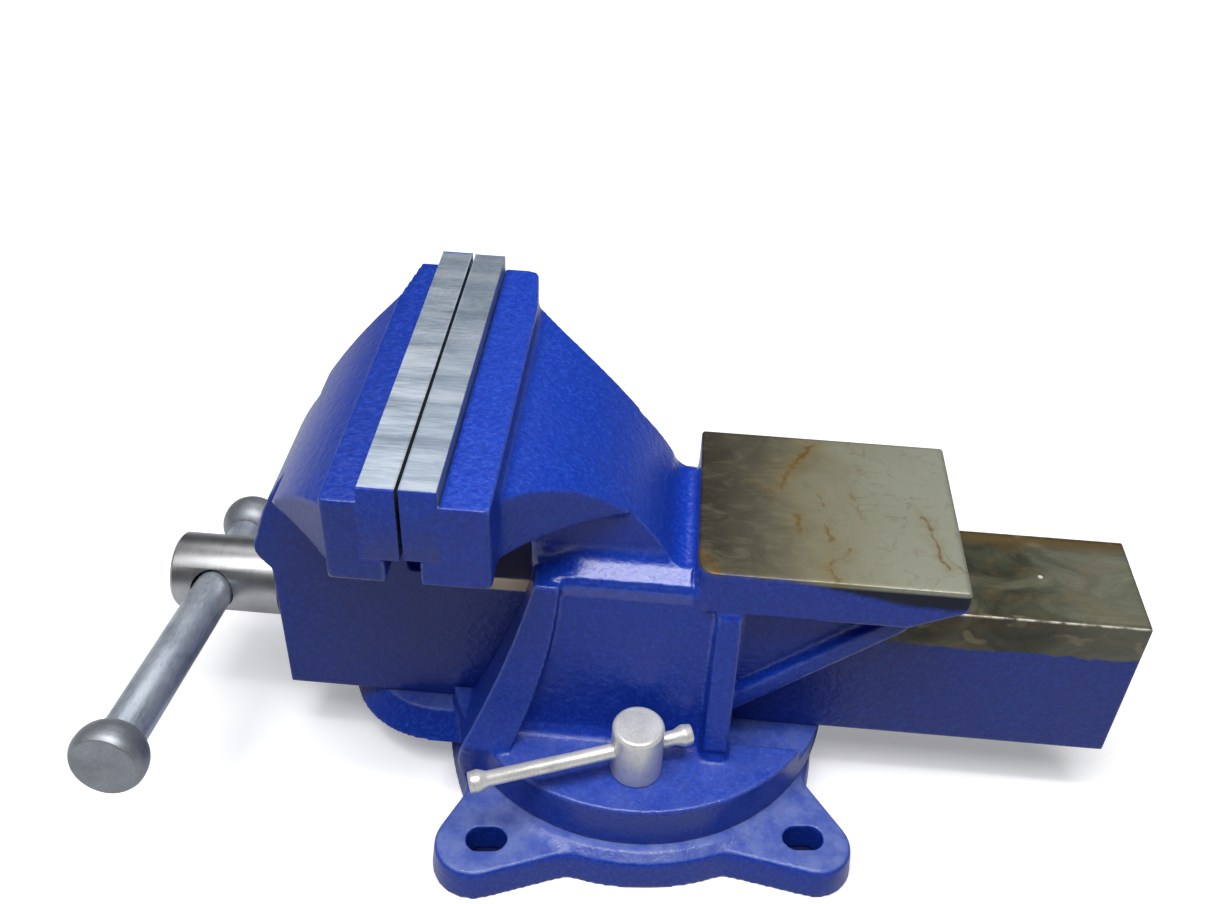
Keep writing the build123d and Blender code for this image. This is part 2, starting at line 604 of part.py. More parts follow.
with BuildPart() as lead_nut_bolts:
    for place in NUT_BOLT_X:
        with BuildSketch(Plane.XY.offset(NUT_BOLT_SEAT)):
            with Locations((place, 0)):
                RegularPolygon(radius=NUT_BOLT_R + 2.2, side_count=6, major_radius=False)
        extrude(amount=-6)
        with BuildSketch(Plane.XY.offset(NUT_BOLT_SEAT)):
            with Locations((place, 0)):
                Circle(NUT_BOLT_R)
        extrude(amount=NUT_BOLT_END - NUT_BOLT_SEAT)

save(lead_nut, "lead_nut", HEAD_TURN)
save(lead_nut_bolts, "lead_nut_bolts", HEAD_TURN)


# ---- Base lock bolts, their cross bars and T nuts ----------------------------------------
NUT_SWEEP = 30.0            # length of a T nut along the groove, in degrees
LOCK_FOOT = DISC_TOP + RUNNING

for name, side in (("near", -1), ("far", 1)):
    turn = -side * LOCK_BAR_TURN
    along = Vector(1, 0, 0).rotate(Axis.Z, turn)
    middle = Vector(LOCK_X, side * LOCK_Y, LOCK_BAR_Z)

    with BuildPart() as lock_bolt:
        with BuildSketch(Plane.XY.offset(LOCK_FOOT)):
            with Locations((LOCK_X, side * LOCK_Y)):
                Circle(LOCK_HEAD_R)
        extrude(amount=LOCK_HEAD_TOP - LOCK_FOOT)
        fillet(edges().filter_by(GeomType.CIRCLE).sort_by(Axis.Z)[-1], 1.8)
        fillet(edges().filter_by(GeomType.CIRCLE).sort_by(Axis.Z)[0], 0.8)
        with BuildSketch(Plane.XY.offset(GROOVE_FLOOR + 2)):
            with Locations((LOCK_X, side * LOCK_Y)):
                Circle(LOCK_SHANK_R)
        extrude(amount=LOCK_FOOT - GROOVE_FLOOR - 2)
        with BuildSketch(Plane(origin=middle, z_dir=along)):
            Circle(LOCK_BAR_R + SLIDING)
        extrude(amount=LOCK_HEAD_R + 1, both=True, mode=Mode.SUBTRACT)
    save(lock_bolt, f"lock_bolt_{name}", HEAD_TURN)

    with BuildPart() as lock_bar:
        with BuildSketch(Plane(origin=middle, x_dir=along, z_dir=(0, 0, 1))):
            with BuildLine():
                Polyline(
                    (LOCK_BAR_ENDS[0], 0), (LOCK_BAR_ENDS[0], 4.0), (LOCK_BAR_ENDS[0] + 3.5, 4.4),
                    (LOCK_BAR_ENDS[0] + 7, LOCK_BAR_R), (LOCK_BAR_ENDS[1] - 7, LOCK_BAR_R),
                    (LOCK_BAR_ENDS[1] - 3.5, 4.4), (LOCK_BAR_ENDS[1], 4.0), (LOCK_BAR_ENDS[1], 0),
                    (LOCK_BAR_ENDS[0], 0),
                )
            make_face()
        revolve(axis=Axis(middle, along))
    save(lock_bar, f"lock_bar_{name}", HEAD_TURN)

    with BuildPart() as lock_nut:
        with BuildSketch(Plane.XZ.rotated((0, 0, -NUT_SWEEP / 2))):
            with Locations((GROOVE_R, (GROOVE_FLOOR + GROOVE_ROOF) / 2)):
                Rectangle(2 * (GROOVE_WIDE - 0.3), GROOVE_ROOF - GROOVE_FLOOR - 0.6)
            with Locations((GROOVE_R, 0.5 * (GROOVE_ROOF + BASE_TOP) - 2)):
                Rectangle(2 * (GROOVE_NECK - 0.3), BASE_TOP - GROOVE_ROOF)
        revolve(axis=Axis.Z, revolution_arc=NUT_SWEEP)
    facing = side * math.degrees(math.atan2(LOCK_Y, LOCK_X))
    with BuildPart() as bored_nut:
        add(lock_nut.part.rotate(Axis.Z, facing))
        with BuildSketch():
            with Locations((LOCK_X, side * LOCK_Y)):
                Circle(LOCK_SHANK_R + RUNNING)
        extrude(amount=BASE_TOP, mode=Mode.SUBTRACT)
    save(bored_nut, f"lock_nut_{name}", HEAD_TURN)
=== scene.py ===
import math

import bmesh
import bpy
import numpy as np
from mathutils import Matrix, Vector
from mathutils.kdtree import KDTree


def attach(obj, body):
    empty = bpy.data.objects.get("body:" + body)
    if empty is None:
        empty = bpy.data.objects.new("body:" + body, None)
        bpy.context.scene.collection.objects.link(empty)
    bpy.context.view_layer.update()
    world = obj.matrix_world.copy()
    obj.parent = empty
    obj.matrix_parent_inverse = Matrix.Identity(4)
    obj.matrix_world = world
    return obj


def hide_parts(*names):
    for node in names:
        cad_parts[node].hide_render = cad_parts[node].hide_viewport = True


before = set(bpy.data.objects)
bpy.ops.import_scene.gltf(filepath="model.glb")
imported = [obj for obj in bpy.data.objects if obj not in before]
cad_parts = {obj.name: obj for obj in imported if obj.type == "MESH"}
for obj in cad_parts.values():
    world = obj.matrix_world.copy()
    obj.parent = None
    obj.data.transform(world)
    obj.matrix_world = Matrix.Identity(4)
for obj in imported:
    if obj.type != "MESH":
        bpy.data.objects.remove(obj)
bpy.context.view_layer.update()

# Lengths in this script are in millimetres of the head's own frame, as in the part's source, and
# are turned by HEAD_TURN and scaled to metres where an object is made.
HEAD_TURN = math.radians(-6.2)
MM = 0.001
TO_HEAD = Matrix.Rotation(-HEAD_TURN, 4, "Z")
TO_ROW = Matrix.Rotation(HEAD_TURN, 4, "Z")
SHARP = math.radians(32)        # edges sharper than this are rounded and shaded sharp
FLAT = math.radians(0.3)        # faces that bend less than this are joined

# Places that more than one function uses, in the head's frame or, for the lugs, in the base's.
LUG_X, LUG_Y = 63, 76           # centre of a bench-bolt slot
LOCK_X, LOCK_Y = 2.2, 59.2      # axis of a lock bolt
SCREW_Z = 67.6                  # height of the lead screw's axis
GRIP_X = -79.8                  # plane in which the jaw plates meet
NECK_Y = 30.5                   # half the neck's width
SHOULDER_Y = 41.0               # half the width over the shoulders that the neck stands on
SHOULDERS = ((-1, 118.5), (1, 112.0))       # side, and height of the shoulder's edge there


# ---- Mesh helpers ------------------------------------------------------------------------
def new_piece(name, mesh, body, material, nodes):
    """Put a finished mesh in the scene as a piece that rides on a body and replaces CAD nodes."""
    mesh.name = name
    obj = bpy.data.objects.new(name, mesh)
    bpy.context.scene.collection.objects.link(obj)
    mesh.materials.clear()
    mesh.materials.append(material)
    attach(obj, body)
    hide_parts(*nodes)


def welded(node):
    """A copy of a CAD node's mesh with its split corners joined."""
    bm = bmesh.new()
    bm.from_mesh(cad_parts[node].data)
    bmesh.ops.remove_doubles(bm, verts=bm.verts, dist=1e-6)
    return bm


def to_mesh(bm, name):
    mesh = bpy.data.meshes.new(name)
    bm.to_mesh(mesh)
    bm.free()
    return mesh


def with_modifiers(mesh, *steps):
    """The mesh after modifiers, each given as its type and its settings."""
    obj = bpy.data.objects.new("work", mesh)
    bpy.context.scene.collection.objects.link(obj)
    for kind, settings in steps:
        modifier = obj.modifiers.new(kind, kind)
        for key, value in settings.items():
            setattr(modifier, key, value)
    depsgraph = bpy.context.evaluated_depsgraph_get()
    result = bpy.data.meshes.new_from_object(obj.evaluated_get(depsgraph))
    bpy.data.objects.remove(obj)
    return result


def rounded(mesh, width, segments=2):
    """The mesh with its sharp edges rounded."""
    return with_modifiers(mesh, ("BEVEL", {
        "width": width * MM, "segments": segments, "limit_method": "ANGLE", "angle_limit": SHARP,
    }))


def cut_off(bm, x, direction):
    """Remove what lies beyond a plane across X, on the side of direction, and close the cut."""
    cut = bmesh.ops.bisect_plane(
        bm, geom=bm.verts[:] + bm.edges[:] + bm.faces[:], plane_co=(x * MM, 0, 0),
        plane_no=(direction, 0, 0), clear_outer=True, dist=1e-7,
    )["geom_cut"]
    edges = [e for e in cut if isinstance(e, bmesh.types.BMEdge)]
    bmesh.ops.triangle_fill(bm, use_beauty=True, edges=edges)


def join_flat(bm):
    bmesh.ops.dissolve_limit(bm, angle_limit=FLAT, verts=bm.verts, edges=bm.edges)


def dress(node, body, material, bevel, inset):
    """A copy of a CAD node with rounded edges and smooth shading, which replaces it. inset draws
    its surface in, for a piece that others turn against."""
    bm = welded(node)
    join_flat(bm)
    if inset:
        bm.normal_update()
        moves = [-vert.normal * vert.calc_shell_factor() * inset * MM for vert in bm.verts]
        for vert, move in zip(bm.verts, moves):
            vert.co += move
    mesh = to_mesh(bm, node)
    if bevel:
        mesh = rounded(mesh, bevel)
    mesh.shade_smooth()
    mesh.set_sharp_from_angle(angle=SHARP)
    new_piece(node + "_skin", mesh, body, material, [node])


# ---- Cast skins --------------------------------------------------------------------------
def coordinates(mesh):
    flat = np.empty(len(mesh.vertices) * 3, np.float32)
    mesh.vertices.foreach_get("co", flat)
    return flat.reshape(-1, 3).astype(float)


def write_coordinates(mesh, points):
    mesh.vertices.foreach_set("co", points.astype(np.float32).ravel())
    mesh.update()


def vertex_normals(mesh):
    flat = np.empty(len(mesh.vertices) * 3, np.float32)
    mesh.vertex_normals.foreach_get("vector", flat)
    return flat.reshape(-1, 3).astype(float)


def umbrella(points, pairs, count):
    """Mean of each point's neighbours, less the point."""
    total = np.empty_like(points)
    for axis in range(3):
        sums = np.bincount(pairs[:, 0], points[pairs[:, 1], axis], len(points))
        sums += np.bincount(pairs[:, 1], points[pairs[:, 0], axis], len(points))
        total[:, axis] = sums
    return total / count[:, None] - points


def edge_pairs(mesh):
    """The two ends of each edge, and how many edges meet at each point."""
    flat = np.empty(len(mesh.edges) * 2, np.int32)
    mesh.edges.foreach_get("vertices", flat)
    pairs = flat.reshape(-1, 2)
    return pairs, np.bincount(pairs.ravel(), minlength=len(mesh.vertices)).astype(float)


def surface_bend(points, pairs, count, normals):
    """How sharply the surface bends at each point: above 0 on an outside edge."""
    bend = -np.einsum("ij,ij->i", umbrella(points, pairs, count), normals) / (VOXEL * MM)
    for _ in range(2):
        spread = np.bincount(pairs[:, 0], bend[pairs[:, 1]], len(points))
        spread += np.bincount(pairs[:, 1], bend[pairs[:, 0]], len(points))
        bend = 0.5 * bend + 0.5 * spread / count
    return bend


def lighter(mesh, points, bend):
    """The mesh with fewer faces, on which each point takes the bend of the nearest full one."""
    light = with_modifiers(mesh, ("DECIMATE", {"ratio": KEEP}))
    tree = KDTree(len(points))
    for index, point in enumerate(points):
        tree.insert(point, index)
    tree.balance()
    nearest = [tree.find(point)[1] for point in coordinates(light)]
    attribute = light.attributes.new("bend", "FLOAT", "POINT")
    attribute.data.foreach_set("value", bend[nearest].astype(np.float32))
    return light


VOXEL = 0.8
KEEP = 0.3          # share of a skin's faces that is left once it is smooth
FILL = 30           # how far the inside corners are filled out


def cast_skin(node, body, turned, fill, material, shape=None):
    """A cast surface over a CAD node: the inside corners filled out, the outside edges rounded.
    fill gives how much at each point, and shape moves points, both in millimetres."""
    bm = welded(node)
    if turned:
        bm.transform(TO_HEAD)
    mesh = with_modifiers(
        to_mesh(bm, node), ("REMESH", {"mode": "VOXEL", "voxel_size": VOXEL * MM})
    )
    points = coordinates(mesh)
    pairs, count = edge_pairs(mesh)
    weight = fill(points / MM)
    for step in range(round(FILL / VOXEL**2)):
        if step % 4 == 0:
            write_coordinates(mesh, points)
            normals = vertex_normals(mesh)
        outward = np.einsum("ij,ij->i", umbrella(points, pairs, count), normals)
        points += (0.6 * weight * np.clip(outward, 0, None))[:, None] * normals
    if shape:
        points /= MM
        shape(points)
        points *= MM
    for _ in range(3):
        points += 0.5 * umbrella(points, pairs, count)
    write_coordinates(mesh, points)
    light = lighter(mesh, points, surface_bend(points, pairs, count, vertex_normals(mesh)))
    if turned:
        light.transform(TO_ROW)
    light.shade_smooth()
    new_piece(node + "_skin", light, body, material, [node])


def between(value, low, high, soft=2.0):
    """1 inside low..high, falling to 0 over soft outside it."""
    return np.clip((value - low) / soft + 1, 0, 1) * np.clip((high - value) / soft + 1, 0, 1)


def fill_fixed(p):
    """Where the fixed casting has fillets: not in the slide's channel, the plate seat or the bores."""
    x, y, z = p.T
    weight = np.where((z < 46) | (z > 112), 1.0, 0.04)
    weight *= 1 - between(y, -26.5, 26.5, 1.5) * between(z, 29, 103.5, 1.0)
    weight *= 1 - between(x, -82, -66, 0.5) * between(z, 150, 186, 1)
    weight *= np.clip((z - 18) / 2, 0, 1)
    for side in (-1, 1):
        weight *= 1 - (np.hypot(x - LOCK_X, y - side * LOCK_Y) < 9) * (z < 36)
    return weight


def shape_fixed(p):
    """A slope and a large fillet where the neck stands on each shoulder, and an upright rib that
    stands clear of the panel beside it."""
    x, y, z = p.T
    panel = 41 + 3.6 * (118.5 - z) / 73
    proud = np.clip((np.abs(y) - panel - 0.3) / 0.6, 0, 1) * (x > 27.2) * (x < 38.8)
    p[:, 1] += np.sign(y) * 1.1 * proud * (z > 43) * (z < 108.5)
    for side, foot in SHOULDERS:
        share = np.clip((p[:, 0] + 38) / 16, 0, 1)
        share = share * share * (3 - 2 * share)
        slope = np.radians(29.5) * share
        radius = 4 + 4 * share
        # The fillet's centre is above the slope that rises from the shoulder's edge.
        root = NECK_Y + radius * (1 - np.sin(slope))
        centre_y = NECK_Y + radius
        centre_z = foot + (SHOULDER_Y - root) * np.tan(slope) + radius * np.cos(slope)
        across = side * p[:, 1]
        up = p[:, 2]
        reach = np.hypot(across - centre_y, up - centre_z)
        along = (across - centre_y) * np.cos(slope) - (up - centre_z) * np.sin(slope)
        depth = (across - SHOULDER_Y) * np.sin(slope) + (up - foot) * np.cos(slope)
        here = (p[:, 0] > -41) & (p[:, 0] < 18)
        fillet = here & (along <= 0) & (across < centre_y) & (up < centre_z) & (reach > radius)
        fillet &= (across > NECK_Y - 1) & (up > foot - 1)
        ramp = here & (along > 0) & (depth < 0) & (across < SHOULDER_Y + 0.2) & (up > foot - 0.7)
        scale = np.where(fillet, radius / np.maximum(reach, 1e-6), 1)
        new_y = np.where(fillet, centre_y + (across - centre_y) * scale, across)
        new_z = np.where(fillet, centre_z + (up - centre_z) * scale, up)
        p[:, 1] = side * np.where(ramp, across - depth * np.sin(slope), new_y)
        p[:, 2] = np.where(ramp, up - depth * np.cos(slope), new_z)


def fill_moving(p):
    """Where the moving casting has fillets: behind the jaw block, not on the slide."""
    x, _, z = p.T
    return between(z, 98, 176, 4) * between(x, -160, np.where(z > 150, -100, -84), 1)


def fill_base(p):
    """Where the base has fillets: not under it, in the slots or where the head turns on it."""
    x, y, z = p.T
    weight = np.clip((z - 6) / 2, 0, 1)
    for sx in (-1, 1):
        for sy in (-1, 1):
            dx = np.clip(np.abs(x - sx * LUG_X) - 2.6, 0, None)
            weight *= np.hypot(dx, y - sy * LUG_Y) > 6.6
    weight *= np.hypot(x, y) > 78
    return weight


# ---- Materials ---------------------------------------------------------------------------
def linear(rgb):
    """A colour given as sRGB bytes, as Blender's linear values."""
    out = []
    for byte in rgb:
        c = byte / 255
        out.append(c / 12.92 if c <= 0.04045 else ((c + 0.055) / 1.055) ** 2.4)
    return (*out, 1.0)


class Shade:
    """Builds one node material. Coordinates are millimetres in the head's or the base's frame."""

    def __init__(self, name, turned=True):
        self.material = bpy.data.materials.new(name)
        self.material.use_nodes = True
        self.tree = self.material.node_tree
        self.bsdf = self.tree.nodes["Principled BSDF"]
        mapping = self.node("ShaderNodeMapping")
        place = self.node("ShaderNodeTexCoord")
        self.tree.links.new(place.outputs["Object"], mapping.inputs["Vector"])
        mapping.inputs["Scale"].default_value = (1000, 1000, 1000)
        mapping.inputs["Rotation"].default_value = (0, 0, -HEAD_TURN if turned else 0)
        self.at = mapping.outputs["Vector"]
        self.normal = place.outputs["Normal"]
        self.x, self.y, self.z = self.split(self.at)

    def node(self, kind, **settings):
        made = self.tree.nodes.new(kind)
        for key, value in settings.items():
            setattr(made, key, value)
        return made

    def feed(self, socket, value):
        if isinstance(value, bpy.types.NodeSocket):
            self.tree.links.new(value, socket)
        else:
            socket.default_value = value

    def split(self, vector):
        parts = self.node("ShaderNodeSeparateXYZ")
        self.feed(parts.inputs[0], vector)
        return parts.outputs

    def math(self, operation, a, b=0.0, c=0.0):
        made = self.node("ShaderNodeMath", operation=operation)
        for socket, value in zip(made.inputs, (a, b, c)):
            self.feed(socket, value)
        return made.outputs[0]

    def step(self, value, low, high, out_low=0.0, out_high=1.0):
        """Smooth step of value from low to high."""
        made = self.node("ShaderNodeMapRange", interpolation_type="SMOOTHSTEP")
        sockets = ("Value", "From Min", "From Max", "To Min", "To Max")
        for key, item in zip(sockets, (value, low, high, out_low, out_high)):
            self.feed(made.inputs[key], item)
        return made.outputs["Result"]

    def stretch(self, factors, vector=None, shift=(0, 0, 0), turn=(0, 0, 0)):
        made = self.node("ShaderNodeMapping")
        self.feed(made.inputs["Vector"], vector or self.at)
        made.inputs["Scale"].default_value = factors
        made.inputs["Location"].default_value = shift
        made.inputs["Rotation"].default_value = turn
        return made.outputs["Vector"]

    def noise(self, size, detail=3.0, rough=0.55, warp=0.0, vector=None):
        """Noise with features of about the given size, from 0 to 1 around 0.5."""
        made = self.node("ShaderNodeTexNoise")
        self.feed(made.inputs["Vector"], vector or self.at)
        settings = {"Scale": 1 / size, "Detail": detail, "Roughness": rough, "Distortion": warp}
        for key, value in settings.items():
            made.inputs[key].default_value = value
        return made.outputs["Fac"]

    def noise_vector(self, size, amount):
        """A shift of up to about half the amount each way, with features of the given size."""
        made = self.node("ShaderNodeTexNoise")
        self.feed(made.inputs["Vector"], self.at)
        made.inputs["Scale"].default_value = 1 / size
        centred = self.node("ShaderNodeVectorMath", operation="SUBTRACT")
        self.feed(centred.inputs[0], made.outputs["Color"])
        centred.inputs[1].default_value = (0.5, 0.5, 0.5)
        scaled = self.node("ShaderNodeVectorMath", operation="SCALE")
        self.feed(scaled.inputs[0], centred.outputs["Vector"])
        scaled.inputs["Scale"].default_value = 2 * amount
        return scaled.outputs["Vector"]

    def shifted(self, a, b):
        """The sum of two vectors."""
        made = self.node("ShaderNodeVectorMath", operation="ADD")
        self.feed(made.inputs[0], a)
        self.feed(made.inputs[1], b)
        return made.outputs["Vector"]

    def cracks(self, size, vector):
        """How far it is to the nearest line of a net with meshes of the given size."""
        made = self.node("ShaderNodeTexVoronoi", feature="DISTANCE_TO_EDGE")
        self.feed(made.inputs["Vector"], vector)
        made.inputs["Scale"].default_value = 1 / size
        return made.outputs["Distance"]

    def product(self, *factors):
        result = factors[0]
        for factor in factors[1:]:
            result = self.math("MULTIPLY", result, factor)
        return result

    def mix(self, share, a, b):
        """From colour a to colour b, each a socket or sRGB bytes."""
        made = self.node("ShaderNodeMix", data_type="RGBA")
        self.feed(made.inputs["Factor"], share)
        self.feed(made.inputs[6], linear(a) if isinstance(a, tuple) else a)
        self.feed(made.inputs[7], linear(b) if isinstance(b, tuple) else b)
        return made.outputs[2]

    def ramp(self, value, *stops):
        """Colours along a value: each stop is a place and sRGB bytes."""
        made = self.node("ShaderNodeValToRGB")
        elements = made.color_ramp.elements
        while len(elements) < len(stops):
            elements.new(0.5)
        for element, (place, colour) in zip(elements, stops):
            element.position = place
            element.color = linear(colour)
        self.feed(made.inputs[0], value)
        return made.outputs["Color"]

    def bump(self, *layers):
        """Stacked bumps, each a height, its strength and its depth in millimetres."""
        last = None
        for height, strength, depth in layers:
            made = self.node("ShaderNodeBump")
            self.feed(made.inputs["Strength"], strength)
            made.inputs["Distance"].default_value = depth * MM
            self.feed(made.inputs["Height"], height)
            if last:
                self.feed(made.inputs["Normal"], last)
            last = made.outputs["Normal"]
        self.feed(self.bsdf.inputs["Normal"], last)
        self.feed(self.bsdf.inputs["Coat Normal"], last)

    def set(self, **values):
        for key, value in values.items():
            self.feed(self.bsdf.inputs[key.replace("_", " ")], value)


COAT = 0.35         # weight of the clear layer on open faces; paint lies thicker in the corners


def shoulder_mask(s):
    """The shoulders that the neck stands on, where the paint has run together."""
    level = s.product(s.step(s.z, 111, 112), s.step(s.z, 130, 124))
    across = s.step(s.math("ABSOLUTE", s.y), SHOULDER_Y + 1, SHOULDER_Y + 0.6)
    return s.product(level, across, s.step(s.x, -60, -50), s.step(s.x, 19, 18))


def enamel(name, turned=True, bare=None, shade=1.0):
    """Glossy blue enamel over a cast surface. bare adds machined places that carry no paint:
    a function of the Shade that returns their mask, colour and height."""
    s = Shade(name, turned)
    grain = s.noise(1.6, 4, 0.65)
    cloud = s.noise(28, 3, 0.5)
    colour = s.ramp(grain, (0.3, (14, 46, 150)), (0.52, (22, 60, 172)), (0.72, (44, 82, 198)))
    colour = s.mix(s.step(cloud, 0.35, 0.7, 0, 0.3), colour, (34, 62, 158))

    # What faces up near the bench is paler in patches.
    up = s.step(s.split(s.normal)[2], 0.6, 0.95)
    patches = s.step(s.noise(9, 4, 0.6), 0.3, 0.7, 0.2, 0.5)
    colour = s.mix(s.product(up, s.step(s.z, 52, 10), patches), colour, (150, 165, 205))

    # Outside edges are painted paler in patches, mostly a painted highlight and partly wear, and the
    # clear layer is thick where the surface bends either way.
    bend = s.node("ShaderNodeAttribute", attribute_name="bend").outputs["Fac"]
    patches = s.step(s.noise(3, 4, 0.6), 0.35, 0.65, 0.15, 0.6)
    colour = s.mix(s.product(s.step(bend, 0.04, 0.18), patches), colour, (110, 138, 215))
    if shade < 1:
        colour = s.mix(1 - shade, colour, (0, 0, 0))
    pooled = s.math("MAXIMUM", s.step(bend, -0.02, -0.06, 0, 0.6), s.step(bend, 0.03, 0.1, 0, 0.6))
    if turned:
        pooled = s.math("MAXIMUM", pooled, shoulder_mask(s))
    coat = s.step(pooled, 0, 1, COAT, 1.0)

    peel = s.noise(3.4, 2, 0.5)
    painted = s.step(grain, 0.3, 0.7, 0.3, 0.45)
    s.bsdf.inputs["Specular IOR Level"].default_value = 0.15
    s.bsdf.inputs["Coat Roughness"].default_value = 0.09
    if bare is None:
        s.set(Base_Color=colour, Roughness=painted, Coat_Weight=coat)
        s.bump((peel, 0.7, 0.4), (grain, 0.8, 0.25))
        return s.material

    mask, metal, height = bare(s)
    covered = s.math("SUBTRACT", 1.0, mask)
    s.set(
        Base_Color=s.mix(mask, colour, metal),
        Roughness=s.math("ADD", s.product(mask, 0.08), painted),
        Metallic=s.product(mask, 0.55),
        Coat_Weight=s.product(covered, coat),
    )
    cast = s.math("MULTIPLY_ADD", mask, -0.7, 0.8)
    scored = s.product(mask, 0.5)
    s.bump((s.product(covered, peel), 0.7, 0.4), (grain, cast, 0.25), (height, scored, 0.15))
    return s.material


# Rust on the anvil: each line's two ends, its width and its strength.
RUST_LINES = (
    (64, 38, 50, 10, 1.5, 0.9), (60, 25, 47, 20, 0.9, 0.5), (48, 5, 40, 12, 1.2, 0.5),
    (56, -7, 57, -17, 1.4, 0.7), (67, -11, 68, -20, 1.3, 0.6), (74, -24, 67, -34, 1.3, 0.75),
    (66, -36, 70, -41, 1.3, 0.6), (104, -1, 110, -30, 1.3, 0.65), (64, 6, 67, 0, 1.1, 0.5),
    (78, 10, 80, -6, 0.8, 0.35), (20, -32, 27, -42, 1.6, 0.7),
)


def rust_lines(s, colour):
    """Rust that runs in a few broken, wandering lines, each with a halo."""
    bend_x = s.noise(7, 4, 0.65)
    bend_y = s.noise(7, 4, 0.65, 0.0, s.stretch((1, 1, 1), shift=(31, 17, 5)))
    px = s.math("ADD", s.x, s.math("MULTIPLY_ADD", bend_x, 9.0, -4.5))
    py = s.math("ADD", s.y, s.math("MULTIPLY_ADD", bend_y, 9.0, -4.5))
    broken = s.step(s.noise(4, 3, 0.6), 0.36, 0.56, 0.25, 1.0)
    for x0, y0, x1, y1, width, strength in RUST_LINES:
        run_x, run_y = x1 - x0, y1 - y0
        length = math.hypot(run_x, run_y)
        dx, dy = s.math("SUBTRACT", px, x0), s.math("SUBTRACT", py, y0)
        share = s.math("MULTIPLY_ADD", dy, run_y / length**2, s.product(dx, run_x / length**2))
        share = s.math("MINIMUM", s.math("MAXIMUM", share, 0.0), 1.0)
        off_x = s.math("MULTIPLY_ADD", share, -run_x, dx)
        off_y = s.math("MULTIPLY_ADD", share, -run_y, dy)
        reach = s.math("SQRT", s.math("MULTIPLY_ADD", off_x, off_x, s.product(off_y, off_y)))
        halo = s.step(reach, 4.5 * width, 0.3, 0, 0.45 * strength)
        line = s.product(s.step(reach, width, 0.1), broken, strength)
        colour = s.mix(s.product(halo, broken), colour, (132, 112, 66))
        colour = s.mix(line, colour, (110, 80, 36))
    return colour


def bare_anvil(s):
    """The machined anvil top, and the wedge of its front side that the paint misses."""
    ragged = s.math("MULTIPLY_ADD", s.noise(5, 3, 0.6), 3.0, -1.5)
    drop = s.step(s.x, 46, 108, 0, 8.5)
    near = s.step(s.y, -41.5, -43)
    edge = s.math("MULTIPLY_ADD", s.math("MULTIPLY", drop, near), -1.0, 129.0)
    height = s.math("ADD", s.z, s.product(ragged, near))
    soft = s.math("MULTIPLY_ADD", near, 1.6, 0.25)
    mask = s.step(height, s.math("SUBTRACT", edge, soft), s.math("ADD", edge, soft))
    mask = s.product(mask, s.step(s.x, 18.0, 18.6), s.step(s.z, 132, 131))

    # Darker towards the neck, in clouds.
    cloud = s.noise(26, 5, 0.6, 0.6)
    along = s.math("MULTIPLY_ADD", cloud, 40, s.math("SUBTRACT", s.x, 40))
    colour = s.ramp(
        s.step(along, -10, 100),
        (0.0, (56, 53, 46)), (0.2, (88, 84, 70)), (0.45, (128, 124, 101)), (1.0, (154, 156, 140)),
    )
    swirl = s.noise(8, 4, 0.65, 1.2, s.stretch((0.5, 1.2, 1), turn=(0, 0, 0.6)))
    colour = s.mix(s.step(swirl, 0.45, 0.75, 0, 0.22), colour, (150, 144, 120))
    colour = s.mix(s.step(swirl, 0.45, 0.28, 0, 0.2), colour, (92, 88, 70))
    colour = rust_lines(s, colour)

    # A fine net of cracks in the patina, broken up, on the half away from the neck.
    net = s.stretch((0.7, 1, 1), s.shifted(s.at, s.noise_vector(7, 3.5)))
    crackle = s.step(s.cracks(8.5, net), 0.07, 0.0)
    gaps = s.noise(5, 3, 0.6, 0.0, s.stretch((1, 1, 1), shift=(9, 4, 2)))
    right = s.product(s.step(s.x, 55, 85), s.step(s.noise(13, 2), 0.38, 0.6))
    crackle = s.product(crackle, s.step(gaps, 0.4, 0.6), right, 0.5)
    colour = s.mix(crackle, colour, (112, 98, 68))
    colour = s.mix(s.step(s.z, 128.8, 127.2), colour, (38, 42, 56))
    return mask, colour, s.noise(1.2, 3, 0.6, 0.0, s.stretch((1, 0.12, 1)))


